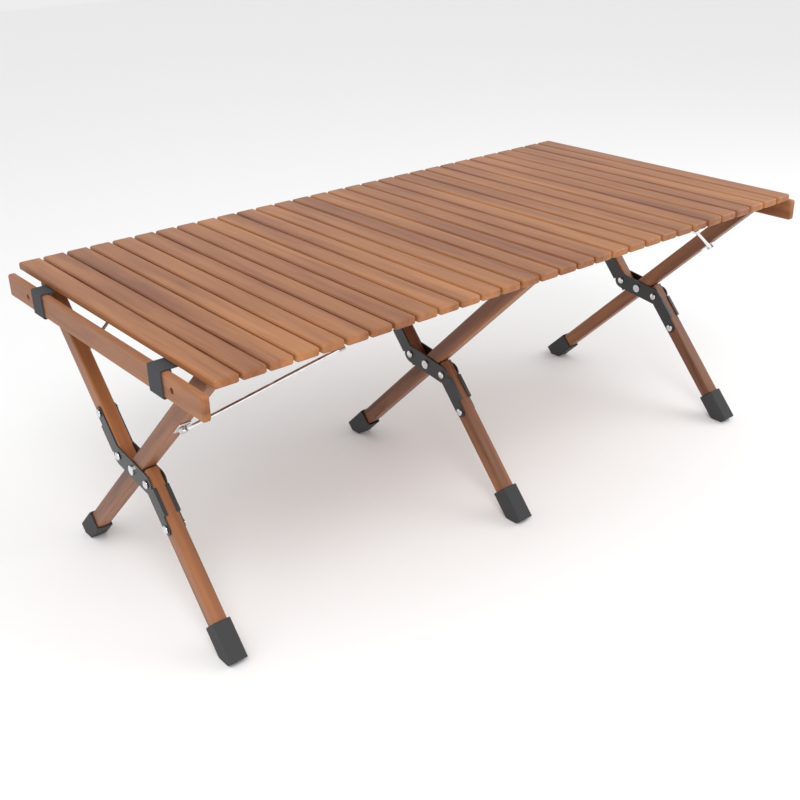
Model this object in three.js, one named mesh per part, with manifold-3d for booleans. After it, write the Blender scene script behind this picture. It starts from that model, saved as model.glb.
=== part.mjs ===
// Folding slatted picnic table: a roll-up wooden top on three crossed-leg frames.
// X runs along the table, Y across it (front is -Y), Z up. Origin: floor, under the middle.
import * as THREE from "three";
import { mergeVertices } from "three/addons/utils/BufferGeometryUtils.js";
import Module from "manifold-3d";

const wasm = await Module();
wasm.setup();

// ---- Driving dimensions, millimetres and degrees ----
const topHeight = 474;
const slatCount = 30;
const slatWidth = 36;
const slatGap = 4;
const slatThickness = 12;
const slatLength = 600;
const edgeRound = 2;

const railHeight = 36;
const railThickness = 12;
const railLength = 600;
const railToSlatGap = 8;
const railHoleRadius = 4.75;
const railHoleInset = 75;

const strapWidth = 35;
const strapThickness = 2;
const strapFromMiddle = 185;

const frameSpacing = 575;
const pivotHeight = 222;
const throughTopReach = 238.4;
const splitTopReach = 236.7;
const legWidth = 27;
const legThickness = 22;
const splitOffset = 28;

const plateThickness = 2;
const plateArmRadius = 10;
const plateLinkRadius = 16;
const innerRivetAlong = 33;
const outerRivetAlong = 106;
const rivetRadius = 3;
const rivetHeadRadius = 6;
const rivetHeadHeight = 2;
const pinRadius = 4;
const pinHeadRadius = 8;
const pinHeadHeight = 2.5;
const tabStart = 45;
const tabLength = 44;
const tabReach = 6;

const footWall = 3;
const footLength = 45;
const footToe = 18;
const footSole = 3.5;

const stayRadius = 3;
const stayLength = 240;
const stayRise = 36;
const stayPivotAlong = 200;
const stayEyeRadius = 6.5;
const stayEyeHeight = 6;
const stayStandOff = 3;

const touchGap = 0.3;
const stopGap = 0.8;
const holeSides = 10;

// ---- Places worked out from them ----
const legHalf = legWidth / 2;
const slatUnderside = topHeight - slatThickness;
const strapTop = slatUnderside - touchGap;
const strapUnderside = strapTop - strapThickness;
const railTop = strapUnderside - touchGap;
const slatPitch = slatWidth + slatGap;
const deckLength = slatCount * slatPitch - slatGap;
const railX = deckLength / 2 + railToSlatGap + railThickness / 2;
const plateInner = legThickness / 2 + touchGap;
const plateOuter = plateInner + plateThickness;
const radians = THREE.MathUtils.degToRad;
const legTopHeight = slatUnderside - touchGap - legHalf;
const topRise = legTopHeight - pivotHeight;
// Each leg leans so that its top reaches its own distance out under the slats. The split leg's
// pieces run beside the pivot, so its lean allows for their offset.
const throughLean = Math.atan2(topRise, throughTopReach);
const splitAlong = Math.sqrt(topRise ** 2 + splitTopReach ** 2 - splitOffset ** 2);
const splitLean = Math.atan2(topRise, splitTopReach) + Math.atan2(splitOffset, splitAlong);
const throughTurn = Math.PI - throughLean;
const splitTurn = splitLean;

const alongLeg = new THREE.Matrix4().makeBasis(
  new THREE.Vector3(0, 1, 0),
  new THREE.Vector3(0, 0, 1),
  new THREE.Vector3(1, 0, 0),
);
const acrossTable = new THREE.Matrix4().makeBasis(
  new THREE.Vector3(1, 0, 0),
  new THREE.Vector3(0, 0, 1),
  new THREE.Vector3(0, -1, 0),
);

// ---- Materials ----
const finish = (color, roughness, metalness) => () =>
  new THREE.MeshStandardMaterial({ color, roughness, metalness });
const oiledWood = finish(0xa96a3c, 0.55, 0);
const webbing = finish(0x33363a, 0.9, 0);
const blackSteel = finish(0x2a2b2d, 0.45, 0.6);
const brightSteel = finish(0xd0d2d4, 0.15, 1);
const blackRubber = finish(0x303032, 0.8, 0);

// ---- Solids ----
function toSolid(geometry) {
  const bare = geometry.index ? geometry.toNonIndexed() : geometry.clone();
  bare.deleteAttribute("normal");
  bare.deleteAttribute("uv");
  const merged = mergeVertices(bare, 1e-4);
  return new wasm.Manifold(new wasm.Mesh({
    numProp: 3,
    vertProperties: merged.attributes.position.array,
    triVerts: new Uint32Array(merged.index.array),
  }));
}

function toGeometry(solid) {
  const mesh = solid.getMesh();
  const geometry = new THREE.BufferGeometry();
  geometry.setAttribute("position", new THREE.BufferAttribute(mesh.vertProperties, 3));
  geometry.setIndex(new THREE.BufferAttribute(mesh.triVerts, 1));
  geometry.computeVertexNormals();
  return geometry;
}

function roundedRectangle(width, height, radius) {
  const right = width / 2;
  const top = height / 2;
  const shape = new THREE.Shape();
  shape.moveTo(-right + radius, -top);
  shape.lineTo(right - radius, -top);
  shape.absarc(right - radius, -top + radius, radius, -Math.PI / 2, 0);
  shape.lineTo(right, top - radius);
  shape.absarc(right - radius, top - radius, radius, 0, Math.PI / 2);
  shape.lineTo(-right + radius, top);
  shape.absarc(-right + radius, top - radius, radius, Math.PI / 2, Math.PI);
  shape.lineTo(-right, -top + radius);
  shape.absarc(-right + radius, -top + radius, radius, Math.PI, Math.PI * 1.5);
  return shape;
}

// A board lying flat, with every edge eased.
function board(width, length, thickness) {
  const outline = roundedRectangle(width - 2 * edgeRound, length - 2 * edgeRound, edgeRound);
  const geometry = new THREE.ExtrudeGeometry(outline, {
    depth: thickness - 2 * edgeRound,
    bevelSize: edgeRound,
    bevelThickness: edgeRound,
    bevelSegments: 1,
    curveSegments: 2,
  });
  return geometry.translate(0, 0, edgeRound - thickness / 2);
}

// Leg stock from one distance along the leg to another, its upper end rounded if asked.
function legStock(from, to, offset, roundTop) {
  const side = legHalf - edgeRound;
  const start = from + edgeRound;
  const shape = new THREE.Shape();
  shape.moveTo(start, offset - side);
  if (roundTop) {
    shape.lineTo(to, offset - side);
    shape.absarc(to, offset, side, -Math.PI / 2, Math.PI / 2);
  } else {
    shape.lineTo(to - edgeRound, offset - side);
    shape.lineTo(to - edgeRound, offset + side);
  }
  shape.lineTo(start, offset + side);
  shape.closePath();
  const geometry = new THREE.ExtrudeGeometry(shape, {
    depth: legThickness - 2 * edgeRound,
    bevelSize: edgeRound,
    bevelThickness: edgeRound,
    bevelSegments: 1,
    curveSegments: 4,
  });
  geometry.translate(0, 0, edgeRound - legThickness / 2);
  return toSolid(geometry.applyMatrix4(alongLeg));
}

// A round bar across the leg, centred on the frame's own plane.
function crossBar(radius, length, along, offset) {
  const geometry = new THREE.CylinderGeometry(radius, radius, length, holeSides);
  geometry.rotateZ(Math.PI / 2);
  return toSolid(geometry.translate(0, along, offset));
}

function block(width, alongFrom, alongTo, offsetFrom, offsetTo) {
  const geometry = new THREE.BoxGeometry(width, alongTo - alongFrom, offsetTo - offsetFrom);
  return toSolid(geometry.translate(0, (alongFrom + alongTo) / 2, (offsetFrom + offsetTo) / 2));
}

// ---- Table top ----
function railSolid() {
  const rail = board(railHeight, railLength, railThickness).rotateY(Math.PI / 2);
  let solid = toSolid(rail);
  for (const side of [-1, 1]) {
    const hole = new THREE.CylinderGeometry(
      railHoleRadius, railHoleRadius, railThickness + 2, holeSides);
    hole.rotateZ(Math.PI / 2);
    hole.translate(0, side * (railLength / 2 - railHoleInset), 0);
    solid = solid.subtract(toSolid(hole));
  }
  return solid;
}

// A band under the slats that closes in a loop round each end rail.
function strapGeometry() {
  const loopOut = railX + railThickness / 2 + touchGap + strapThickness;
  const loopIn = railX - railThickness / 2 - touchGap - strapThickness;
  const loopLow = railTop - railHeight - touchGap - strapThickness;
  const shape = new THREE.Shape();
  shape.moveTo(-loopOut, strapTop);
  shape.lineTo(-loopOut, loopLow);
  shape.lineTo(-loopIn, loopLow);
  shape.lineTo(-loopIn, strapUnderside);
  shape.lineTo(loopIn, strapUnderside);
  shape.lineTo(loopIn, loopLow);
  shape.lineTo(loopOut, loopLow);
  shape.lineTo(loopOut, strapTop);
  shape.closePath();
  for (const side of [-1, 1]) {
    const inner = side * (loopIn + strapThickness);
    const outer = side * (loopOut - strapThickness);
    const eye = new THREE.Path();
    eye.moveTo(inner, strapUnderside);
    eye.lineTo(outer, strapUnderside);
    eye.lineTo(outer, loopLow + strapThickness);
    eye.lineTo(inner, loopLow + strapThickness);
    eye.closePath();
    shape.holes.push(eye);
  }
  const geometry = new THREE.ExtrudeGeometry(shape, { depth: strapWidth, bevelEnabled: false });
  geometry.translate(0, 0, -strapWidth / 2);
  return geometry.applyMatrix4(acrossTable);
}

// ---- Legs ----
function throughLegSolid() {
  const foot = (footSole - pivotHeight + legHalf * Math.cos(throughLean))
    / Math.sin(throughLean);
  const top = topRise / Math.sin(throughLean);
  const leg = legStock(foot, top, 0, true);
  const hole = crossBar(pinRadius + touchGap, legThickness + 2, 0, 0);
  return { foot, solid: leg.subtract(hole) };
}

function splitPiece(upper) {
  const offset = upper ? -splitOffset : splitOffset;
  const side = upper ? 1 : -1;
  const slope = splitLean;
  const butt = side * (legHalf + stopGap);
  const top = (topRise - offset * Math.cos(slope)) / Math.sin(slope);
  const foot = (footSole - pivotHeight - (offset - legHalf) * Math.cos(slope)) / Math.sin(slope);
  let solid = upper ? legStock(butt, top, offset, true) : legStock(foot, butt, offset, false);
  for (const along of [innerRivetAlong, outerRivetAlong]) {
    solid = solid.subtract(
      crossBar(rivetRadius + touchGap, legThickness + 2, side * along, offset));
  }
  return { foot, solid };
}

// A moulded boot on the end of a leg, cut flat where it stands on the floor.
function footSolid(legEnd, offset, turn) {
  const wall = footWall + touchGap;
  const outside = block(legThickness + 2 * wall, legEnd - footToe, legEnd + footLength,
    offset - legHalf - wall, offset + legHalf + wall);
  const socket = block(legThickness + 2 * touchGap, legEnd - touchGap,
    legEnd + footLength + 1, offset - legHalf - touchGap, offset + legHalf + touchGap);
  const floorDepth = 200;
  const underfloor = new THREE.BoxGeometry(floorDepth, 4 * floorDepth, floorDepth);
  underfloor.translate(0, 0, -pivotHeight - floorDepth / 2);
  underfloor.rotateX(-turn);
  return outside.subtract(socket).subtract(toSolid(underfloor));
}

// ---- Hub: two S-shaped plates held together by the rivets of the split leg ----
function capsule(from, to, radius) {
  const run = new THREE.Vector2().subVectors(to, from);
  const heading = run.angle();
  const shape = new THREE.Shape();
  shape.absarc(from.x, from.y, radius, heading + Math.PI / 2, heading + Math.PI * 1.5);
  shape.absarc(to.x, to.y, radius, heading - Math.PI / 2, heading + Math.PI / 2);
  const geometry = new THREE.ExtrudeGeometry(shape, {
    depth: plateThickness,
    bevelEnabled: false,
    curveSegments: 4,
  });
  return toSolid(geometry.applyMatrix4(alongLeg));
}

function plateSolid(face) {
  const innerUp = new THREE.Vector2(innerRivetAlong, -splitOffset);
  const outerUp = new THREE.Vector2(outerRivetAlong, -splitOffset);
  const innerDown = innerUp.clone().negate();
  const outerDown = outerUp.clone().negate();
  let plate = capsule(innerDown, innerUp, plateLinkRadius);
  plate = plate.add(capsule(innerUp, outerUp, plateArmRadius));
  plate = plate.add(capsule(outerDown, innerDown, plateArmRadius));
  plate = plate.translate([face > 0 ? plateInner : -plateOuter, 0, 0]);
  const tabInner = splitOffset + legHalf + touchGap;
  const tabOuter = tabInner + plateThickness;
  const wingMiddle = (plateInner + plateOuter) / 2;
  const flangeMiddle = plateOuter - tabReach / 2;
  for (const end of [-1, 1]) {
    const from = end > 0 ? tabStart : -tabStart - tabLength;
    const wing = block(plateThickness, from, from + tabLength, splitOffset, tabOuter);
    const flange = block(tabReach, from, from + tabLength, tabInner, tabOuter);
    const flip = end > 0 ? [1, 1, -1] : [1, 1, 1];
    plate = plate.add(wing.translate([face * wingMiddle, 0, 0]).scale(flip));
    plate = plate.add(flange.translate([face * flangeMiddle, 0, 0]).scale(flip));
  }
  return plate;
}

function hubSolid() {
  let hub = plateSolid(-1).add(plateSolid(1));
  for (const end of [-1, 1]) {
    for (const along of [innerRivetAlong, outerRivetAlong]) {
      const place = [end * along, -end * splitOffset];
      hub = hub.add(crossBar(rivetRadius, 2 * plateOuter, ...place));
      const heads = crossBar(rivetHeadRadius, 2 * (plateOuter + rivetHeadHeight), ...place);
      hub = hub.add(heads.subtract(crossBar(rivetHeadRadius + 1, 2 * plateInner, ...place)));
    }
  }
  return hub.subtract(crossBar(pinRadius + touchGap, 2 * plateOuter + 2, 0, 0));
}

function pivotPinSolid() {
  const faceGap = plateOuter + touchGap;
  const heads = crossBar(pinHeadRadius, 2 * (faceGap + pinHeadHeight), 0, 0);
  const shank = crossBar(pinRadius, 2 * faceGap, 0, 0);
  return heads.subtract(crossBar(pinHeadRadius + 1, 2 * faceGap, 0, 0)).add(shank);
}

// ---- Stays: a bright rod from the side of an end leg up to the top ----
function staySolid(lean, face) {
  const middle = face * (stayStandOff + stayRadius);
  const eye = new THREE.CylinderGeometry(stayEyeRadius, stayEyeRadius, stayEyeHeight, holeSides);
  eye.rotateX(Math.PI / 2).translate(0, 0, middle);
  const rod = new THREE.CylinderGeometry(stayRadius, stayRadius, stayLength, holeSides);
  rod.translate(0, stayLength / 2, 0);
  rod.rotateZ(-lean * radians(90 - stayRise));
  rod.translate(0, 0, middle);
  const tip = new THREE.CylinderGeometry(
    stayEyeRadius - 1, stayEyeRadius - 1, stayEyeHeight, holeSides);
  tip.rotateX(Math.PI / 2);
  const rise = radians(stayRise);
  tip.translate(lean * stayLength * Math.cos(rise), stayLength * Math.sin(rise), middle);
  return toSolid(eye).add(toSolid(rod)).add(toSolid(tip));
}

// ---- Assembly ----
const table = new THREE.Group();

function place(group, name, geometry, material) {
  const mesh = new THREE.Mesh(geometry, material());
  mesh.name = name;
  group.add(mesh);
  return mesh;
}

for (let index = 0; index < slatCount; index += 1) {
  const name = `slat_${String(index + 1).padStart(2, "0")}`;
  const slat = place(table, name, board(slatWidth, slatLength, slatThickness), oiledWood);
  slat.position.x = (index - (slatCount - 1) / 2) * slatPitch;
  slat.position.z = topHeight - slatThickness / 2;
}

for (const [name, side] of [["rail_left", -1], ["rail_right", 1]]) {
  const rail = place(table, name, toGeometry(railSolid()), oiledWood);
  rail.position.set(side * railX, 0, railTop - railHeight / 2);
}

for (const [name, side] of [["strap_front", -1], ["strap_back", 1]]) {
  place(table, name, strapGeometry(), webbing).position.y = side * strapFromMiddle;
}

function addFrame(side, x) {
  const frame = new THREE.Group();
  frame.position.set(x, 0, pivotHeight);
  const through = new THREE.Group();
  through.rotation.x = throughTurn;
  const split = new THREE.Group();
  split.rotation.x = splitTurn;
  frame.add(through, split);
  table.add(frame);

  const leg = throughLegSolid();
  place(through, `through_leg_${side}`, toGeometry(leg.solid), oiledWood);
  place(through, `foot_back_${side}`, toGeometry(footSolid(leg.foot, 0, throughTurn)), blackRubber);
  place(through, `pivot_pin_${side}`, toGeometry(pivotPinSolid()), brightSteel);

  const upper = splitPiece(true);
  const lower = splitPiece(false);
  const boot = footSolid(lower.foot, splitOffset, splitTurn);
  place(split, `upper_leg_${side}`, toGeometry(upper.solid), oiledWood);
  place(split, `lower_leg_${side}`, toGeometry(lower.solid), oiledWood);
  place(split, `foot_front_${side}`, toGeometry(boot), blackRubber);
  place(split, `hub_${side}`, toGeometry(hubSolid()), blackSteel);

  if (x !== 0) {
    const lean = -Math.sign(x);
    const front = place(through, `stay_front_${side}`, toGeometry(staySolid(lean, 1)), brightSteel);
    front.position.set(0, stayPivotAlong, legHalf);
    const back = place(split, `stay_back_${side}`, toGeometry(staySolid(lean, -1)), brightSteel);
    back.position.set(0, stayPivotAlong, -splitOffset - legHalf);
  }
}

addFrame("left", -frameSpacing);
addFrame("middle", 0);
addFrame("right", frameSpacing);

export default table;
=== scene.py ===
import math

import bmesh
import bpy
from mathutils import Matrix, Vector


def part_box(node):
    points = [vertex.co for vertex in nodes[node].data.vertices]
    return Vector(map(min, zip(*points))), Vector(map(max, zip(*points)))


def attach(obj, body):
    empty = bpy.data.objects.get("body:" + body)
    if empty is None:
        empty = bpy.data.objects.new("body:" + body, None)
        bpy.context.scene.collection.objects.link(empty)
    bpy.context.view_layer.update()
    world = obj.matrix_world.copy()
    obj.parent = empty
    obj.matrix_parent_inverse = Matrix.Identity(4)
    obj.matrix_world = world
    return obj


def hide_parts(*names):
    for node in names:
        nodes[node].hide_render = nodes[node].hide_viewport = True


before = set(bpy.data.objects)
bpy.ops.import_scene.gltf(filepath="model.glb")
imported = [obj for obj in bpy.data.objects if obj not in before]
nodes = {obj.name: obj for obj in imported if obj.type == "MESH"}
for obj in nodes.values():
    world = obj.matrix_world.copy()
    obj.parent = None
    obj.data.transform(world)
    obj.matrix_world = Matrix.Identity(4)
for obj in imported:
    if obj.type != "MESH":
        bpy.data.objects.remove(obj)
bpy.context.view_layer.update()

# Camera: a 50 mm lens on a 36 mm frame, looking down on the front left corner of the table.
CAMERA_PLACE = (-1.1793, -1.3824, 1.0301)
CAMERA_RIGHT = Vector((0.77406, -0.63272, -0.02228))
CAMERA_DOWN = Vector((-0.2920, -0.3255, -0.8994))
CAMERA_FORWARD = Vector((0.56179, 0.70266, -0.43665))
camera = bpy.data.objects.new("camera", bpy.data.cameras.new("camera"))
camera.data.lens = 50
camera.data.sensor_width = 36
facing = Matrix((CAMERA_RIGHT, -CAMERA_DOWN, -CAMERA_FORWARD)).transposed().to_4x4()
camera.matrix_world = Matrix.Translation(CAMERA_PLACE) @ facing
bpy.context.collection.objects.link(camera)
bpy.context.scene.camera = camera


# Slats and end rails: oiled hardwood boards, planed, with eased edges. The slats lie across
# the table on the straps; the rails stand on edge at its two ends, held in the straps' loops.
SLAT_DARK = (0.19, 0.056, 0.014)
SLAT_LIGHT = (0.42, 0.165, 0.050)
GRAIN_STRETCH = (0.011, 0.16, 0.011)


def new_material(name, roughness, metallic):
    material = bpy.data.materials.new(name)
    material.use_nodes = True
    shader = material.node_tree.nodes["Principled BSDF"]
    shader.inputs["Roughness"].default_value = roughness
    shader.inputs["Metallic"].default_value = metallic
    return material, shader


# Long streaks drawn out along a board, with slower changes of tone across it.
def grain_group():
    group = bpy.data.node_groups.new("wood_grain", "ShaderNodeTree")
    for name, kind in (("Vector", "NodeSocketVector"), ("Dark", "NodeSocketColor"),
                       ("Light", "NodeSocketColor")):
        group.interface.new_socket(name, in_out="INPUT", socket_type=kind)
    for name, kind in (("Color", "NodeSocketColor"), ("Height", "NodeSocketFloat")):
        group.interface.new_socket(name, in_out="OUTPUT", socket_type=kind)
    node = group.nodes.new
    link = group.links.new
    enter = node("NodeGroupInput")
    leave = node("NodeGroupOutput")
    streaks = node("ShaderNodeTexNoise")
    streaks.inputs["Scale"].default_value = 1
    streaks.inputs["Detail"].default_value = 6
    streaks.inputs["Distortion"].default_value = 0.6
    tone = node("ShaderNodeTexNoise")
    tone.inputs["Scale"].default_value = 0.16
    tone.inputs["Detail"].default_value = 2
    blend = node("ShaderNodeMath")
    blend.operation = "MULTIPLY_ADD"
    blend.inputs[1].default_value = 0.55
    spread = node("ShaderNodeMapRange")
    spread.inputs["From Min"].default_value = 0.55
    spread.inputs["From Max"].default_value = 1.0
    mix = node("ShaderNodeMix")
    mix.data_type = "RGBA"
    link(enter.outputs["Vector"], streaks.inputs["Vector"])
    link(enter.outputs["Vector"], tone.inputs["Vector"])
    link(streaks.outputs["Fac"], blend.inputs[0])
    link(tone.outputs["Fac"], blend.inputs[2])
    link(blend.outputs[0], spread.inputs["Value"])
    link(spread.outputs["Result"], mix.inputs["Factor"])
    link(enter.outputs["Dark"], mix.inputs["A"])
    link(enter.outputs["Light"], mix.inputs["B"])
    link(mix.outputs["Result"], leave.inputs["Color"])
    link(streaks.outputs["Fac"], leave.inputs["Height"])
    return group


grain = grain_group()


def wood(name, dark, light, stretch, turned=0.0):
    material, shader = new_material(name, 0.42, 0)
    tree = material.node_tree
    place = tree.nodes.new("ShaderNodeTexCoord")
    mapping = tree.nodes.new("ShaderNodeMapping")
    mapping.vector_type = "TEXTURE"
    mapping.inputs["Rotation"].default_value = (turned, 0, 0)
    mapping.inputs["Scale"].default_value = stretch
    group = tree.nodes.new("ShaderNodeGroup")
    group.node_tree = grain
    group.inputs["Dark"].default_value = (*dark, 1)
    group.inputs["Light"].default_value = (*light, 1)
    bump = tree.nodes.new("ShaderNodeBump")
    bump.inputs["Strength"].default_value = 0.12
    bump.inputs["Distance"].default_value = 0.001
    tree.links.new(place.outputs["Object"], mapping.inputs["Vector"])
    tree.links.new(mapping.outputs["Vector"], group.inputs["Vector"])
    tree.links.new(group.outputs["Color"], shader.inputs["Base Color"])
    tree.links.new(group.outputs["Height"], bump.inputs["Height"])
    tree.links.new(bump.outputs["Normal"], shader.inputs["Normal"])
    return material


def finish_nodes(material, *starts):
    for name, obj in nodes.items():
        if name.startswith(starts):
            obj.data.materials.clear()
            obj.data.materials.append(material)


finish_nodes(wood("slat_wood", SLAT_DARK, SLAT_LIGHT, GRAIN_STRETCH), "slat", "rail")

# Legs: the same wood, darker, with the grain along each leg.
THROUGH_TURN = math.radians(136.5)
SPLIT_TURN = math.radians(48.6)
LEG_DARK = (0.085, 0.024, 0.008)
LEG_LIGHT = (0.34, 0.125, 0.042)
finish_nodes(wood("through_wood", LEG_DARK, LEG_LIGHT, GRAIN_STRETCH, THROUGH_TURN), "through_leg")
finish_nodes(wood("split_wood", LEG_DARK, LEG_LIGHT, GRAIN_STRETCH, SPLIT_TURN),
             "upper_leg", "lower_leg")


# Hubs: two S-shaped steel plates on each frame, blanked, folded and enamelled black. Rivets
# hold them on the two pieces of the split leg.
def speckled(name, colour, roughness, metallic, size, depth):
    material, shader = new_material(name, roughness, metallic)
    tree = material.node_tree
    place = tree.nodes.new("ShaderNodeTexCoord")
    noise = tree.nodes.new("ShaderNodeTexNoise")
    noise.inputs["Scale"].default_value = size
    tone = tree.nodes.new("ShaderNodeMapRange")
    tone.inputs["To Min"].default_value = roughness * 0.8
    tone.inputs["To Max"].default_value = min(1, roughness * 1.25)
    shade = tree.nodes.new("ShaderNodeMix")
    shade.data_type = "RGBA"
    shade.inputs["A"].default_value = (*[0.75 * part for part in colour], 1)
    shade.inputs["B"].default_value = (*[min(1, 1.2 * part) for part in colour], 1)
    bump = tree.nodes.new("ShaderNodeBump")
    bump.inputs["Strength"].default_value = depth
    bump.inputs["Distance"].default_value = 0.0005
    tree.links.new(place.outputs["Object"], noise.inputs["Vector"])
    tree.links.new(noise.outputs["Fac"], tone.inputs["Value"])
    tree.links.new(noise.outputs["Fac"], shade.inputs["Factor"])
    tree.links.new(noise.outputs["Fac"], bump.inputs["Height"])
    tree.links.new(tone.outputs["Result"], shader.inputs["Roughness"])
    tree.links.new(shade.outputs["Result"], shader.inputs["Base Color"])
    tree.links.new(bump.outputs["Normal"], shader.inputs["Normal"])
    return material


finish_nodes(speckled("black_enamel", (0.03, 0.03, 0.032), 0.35, 0, 900, 0.1), "hub")


# Pivot pins and stays: round steel bar, plated bright. A pin joins the legs of each frame, and a
# stay runs from the outer edge of each end leg up under the top.
plating = speckled("bright_plating", (0.75, 0.75, 0.77), 0.14, 1, 120, 0.02)
finish_nodes(plating, "pivot_pin", "stay")


def add_piece(name, mesh, material, body):
    data = bpy.data.meshes.new(name)
    mesh.normal_update()
    mesh.to_mesh(data)
    mesh.free()
    data.materials.append(material)
    piece = bpy.data.objects.new(name, data)
    bpy.context.collection.objects.link(piece)
    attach(piece, body)
    return piece


# Straps: black woven webbing that holds the slats. It runs flat under them and closes in a
# loop round each end rail, where it is stitched to itself.
WEBBING_THICKNESS = 0.002
PRESSED_SHARE = 0.9
LOOP_WIDTH = 0.0146
LOOP_TOP_GAP = 0.0021
LOOP_CORNER = 0.0015
webbing = speckled("webbing", (0.045, 0.048, 0.054), 0.9, 0, 1800, 0.6)


def strap_run(low, high):
    inset = WEBBING_THICKNESS / 2
    top = high.z - inset
    bottom = low.z + inset
    left = low.x + inset
    right = high.x - inset
    near = (left + LOOP_WIDTH, right - LOOP_WIDTH)
    return [(near[0], top - LOOP_TOP_GAP), (near[0], bottom), (left, bottom), (left, top),
            (right, top), (right, bottom), (near[1], bottom), (near[1], top - LOOP_TOP_GAP)]


for end in ("front", "back"):
    node = f"strap_{end}"
    low, high = (Vector(corner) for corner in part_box(node))
    mesh = bmesh.new()
    points = [mesh.verts.new((x, low.y, z)) for x, z in strap_run(low, high)]
    for first, second in zip(points, points[1:]):
        mesh.edges.new((first, second))
    swept = bmesh.ops.extrude_edge_only(mesh, edges=mesh.edges[:])
    edge_points = [item for item in swept["geom"] if isinstance(item, bmesh.types.BMVert)]
    bmesh.ops.translate(mesh, verts=edge_points, vec=(0, high.y - low.y, 0))
    corners = [edge for edge in mesh.edges if len(edge.link_faces) == 2]
    bmesh.ops.bevel(mesh, geom=corners, offset=LOOP_CORNER, segments=3, profile=0.5,
                    affect="EDGES", material=-1)
    bmesh.ops.recalc_face_normals(mesh, faces=mesh.faces[:])
    strap = add_piece(f"webbing_{end}", mesh, webbing, "table_top")
    thicken = strap.modifiers.new("thickness", "SOLIDIFY")
    thicken.thickness = WEBBING_THICKNESS * PRESSED_SHARE
    thicken.offset = 0
    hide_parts(node)


# Boots: moulded black rubber caps pushed on the leg ends and cut flat where they stand on the
# floor. Their edges are softly rounded, as a mould leaves them.
BOOT_ROUND = 0.003
rubber = speckled("boot_rubber", (0.035, 0.035, 0.037), 0.7, 0, 1400, 0.3)
for name, source in list(nodes.items()):
    if not name.startswith("foot"):
        continue
    mesh = bmesh.new()
    mesh.from_mesh(source.data)
    bmesh.ops.remove_doubles(mesh, verts=mesh.verts[:], dist=1e-6)
    bmesh.ops.dissolve_limit(mesh, angle_limit=0.01, verts=mesh.verts[:], edges=mesh.edges[:])
    _, end, side = name.split("_")
    body = f"frame_{side}" if end == "back" else f"split_{side}"
    boot = add_piece(f"boot_{end}_{side}", mesh, rubber, body)
    soften = boot.modifiers.new("rounded edges", "BEVEL")
    soften.width = BOOT_ROUND
    soften.segments = 3
    soften.limit_method = "ANGLE"
    soften.use_clamp_overlap = True
    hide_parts(name)


# Rivet heads: domed and plated, on both faces of each hub, one over every rivet. They are
# headed on the bar that goes through the plates and the wood.
PIVOT_HEIGHT = 0.222
FRAME_X = {"left": -0.575, "middle": 0.0, "right": 0.575}
SPLIT_OFFSET = 0.028
RIVETS_ALONG = (0.033, 0.106)
HEAD_FACE = 0.0151
HEAD_RADIUS = 0.0066
HEAD_FLATNESS = 0.4


def on_leg(x, leg_turn, across, along, offset):
    place = Matrix.Translation((x, 0, PIVOT_HEIGHT)) @ Matrix.Rotation(leg_turn, 4, "X")
    return place @ Matrix.Translation((across, along, offset))


for side, x in FRAME_X.items():
    domes = bmesh.new()
    for end in (-1, 1):
        for along in RIVETS_ALONG:
            for face in (-1, 1):
                spot = on_leg(x, SPLIT_TURN, face * HEAD_FACE, end * along, -end * SPLIT_OFFSET)
                flatten = Matrix.Diagonal((HEAD_FLATNESS, 1, 1, 1))
                bmesh.ops.create_uvsphere(domes, u_segments=20, v_segments=12,
                                          radius=HEAD_RADIUS, matrix=spot @ flatten)
    add_piece(f"rivet_heads_{side}", domes, plating, f"split_{side}")


# Stay clips: small plated plates that hold the stays' lower ends on the end legs, one under
# each stay's eye.
LEG_HALF = 0.0135
STAY_ALONG = 0.2
CLIP_LIFT = 0.0012
CLIP_SIZE = (0.018, 0.03, 0.0022)
CLIP_ROUND = 0.0007
for side in ("left", "right"):
    for end, leg_turn, offset, body in (
            ("front", THROUGH_TURN, LEG_HALF, "frame"),
            ("back", SPLIT_TURN, -SPLIT_OFFSET - LEG_HALF, "split")):
        clip = bmesh.new()
        lifted = offset + math.copysign(CLIP_LIFT, offset)
        spot = on_leg(FRAME_X[side], leg_turn, 0, STAY_ALONG, lifted)
        bmesh.ops.create_cube(clip, size=1, matrix=spot @ Matrix.Diagonal((*CLIP_SIZE, 1)))
        bmesh.ops.bevel(clip, geom=clip.edges[:], offset=CLIP_ROUND, segments=2, profile=0.5,
                        affect="EDGES", material=-1)
        add_piece(f"stay_clip_{end}_{side}", clip, plating, f"{body}_{side}")


# Studio: a plain pale floor and soft light from above and both sides.
floor_mesh = bmesh.new()
bmesh.ops.create_grid(floor_mesh, x_segments=1, y_segments=1, size=8)
floor_data = bpy.data.meshes.new("floor")
floor_mesh.to_mesh(floor_data)
floor_mesh.free()
floor = bpy.data.objects.new("floor", floor_data)
floor.location.z = -0.0005
floor_material, floor_shader = new_material("floor", 0.9, 0)
floor_shader.inputs["Base Color"].default_value = (0.95, 0.95, 0.95, 1)
floor_data.materials.append(floor_material)
bpy.context.collection.objects.link(floor)

world = bpy.data.worlds.new("studio")
world.use_nodes = True
world.node_tree.nodes["Background"].inputs["Color"].default_value = (1, 1, 1, 1)
world.node_tree.nodes["Background"].inputs["Strength"].default_value = 0.85
bpy.context.scene.world = world
bpy.context.scene.view_settings.view_transform = "Standard"

for name, place, power, size in (("key", (-1.6, -1.8, 2.6), 45, 1.6),
                                 ("fill", (2.2, -1.2, 1.8), 20, 2.0)):
    lamp = bpy.data.objects.new(name, bpy.data.lights.new(name, "AREA"))
    lamp.data.energy = power
    lamp.data.size = size
    lamp.location = place
    lamp.rotation_euler = (-Vector(place)).to_track_quat("-Z", "Y").to_euler()
    bpy.context.collection.objects.link(lamp)
